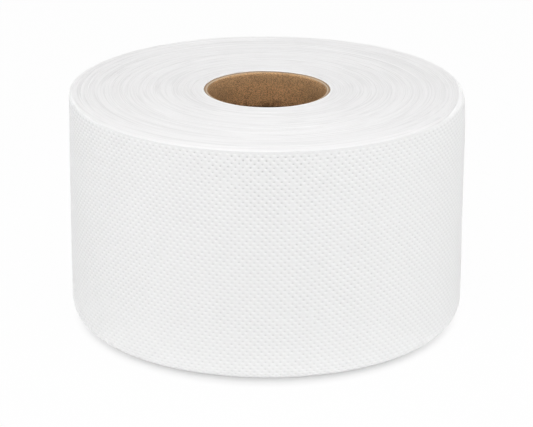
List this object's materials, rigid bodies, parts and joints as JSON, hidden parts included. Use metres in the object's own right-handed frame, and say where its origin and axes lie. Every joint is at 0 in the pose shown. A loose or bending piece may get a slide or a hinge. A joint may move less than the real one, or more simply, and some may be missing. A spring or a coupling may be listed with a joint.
{
  "type": "toilet paper roll",
  "caption": "Wide roll of white embossed toilet paper, wound on an open brown cardboard core and standing on its end.",
  "frame": {"origin": "centre of the end that the roll stands on, where the core's axis meets the surface below", "axes": "+Z along the core's axis, up through the roll; -Y towards the viewer of the picture; the sheet's tail lies on the +Y side"},
  "size_m": [0.1897, 0.19, 0.112],
  "materials": {
    "tissue_paper": "soft matte white two-ply tissue, embossed with small round pits",
    "kraft_board": "matte brown kraft board with darker and paler fibres"
  },
  "bodies": {
    "root": {"paper_roll": "tissue_paper", "cardboard_core": "kraft_board"}
  },
  "joints": []
}
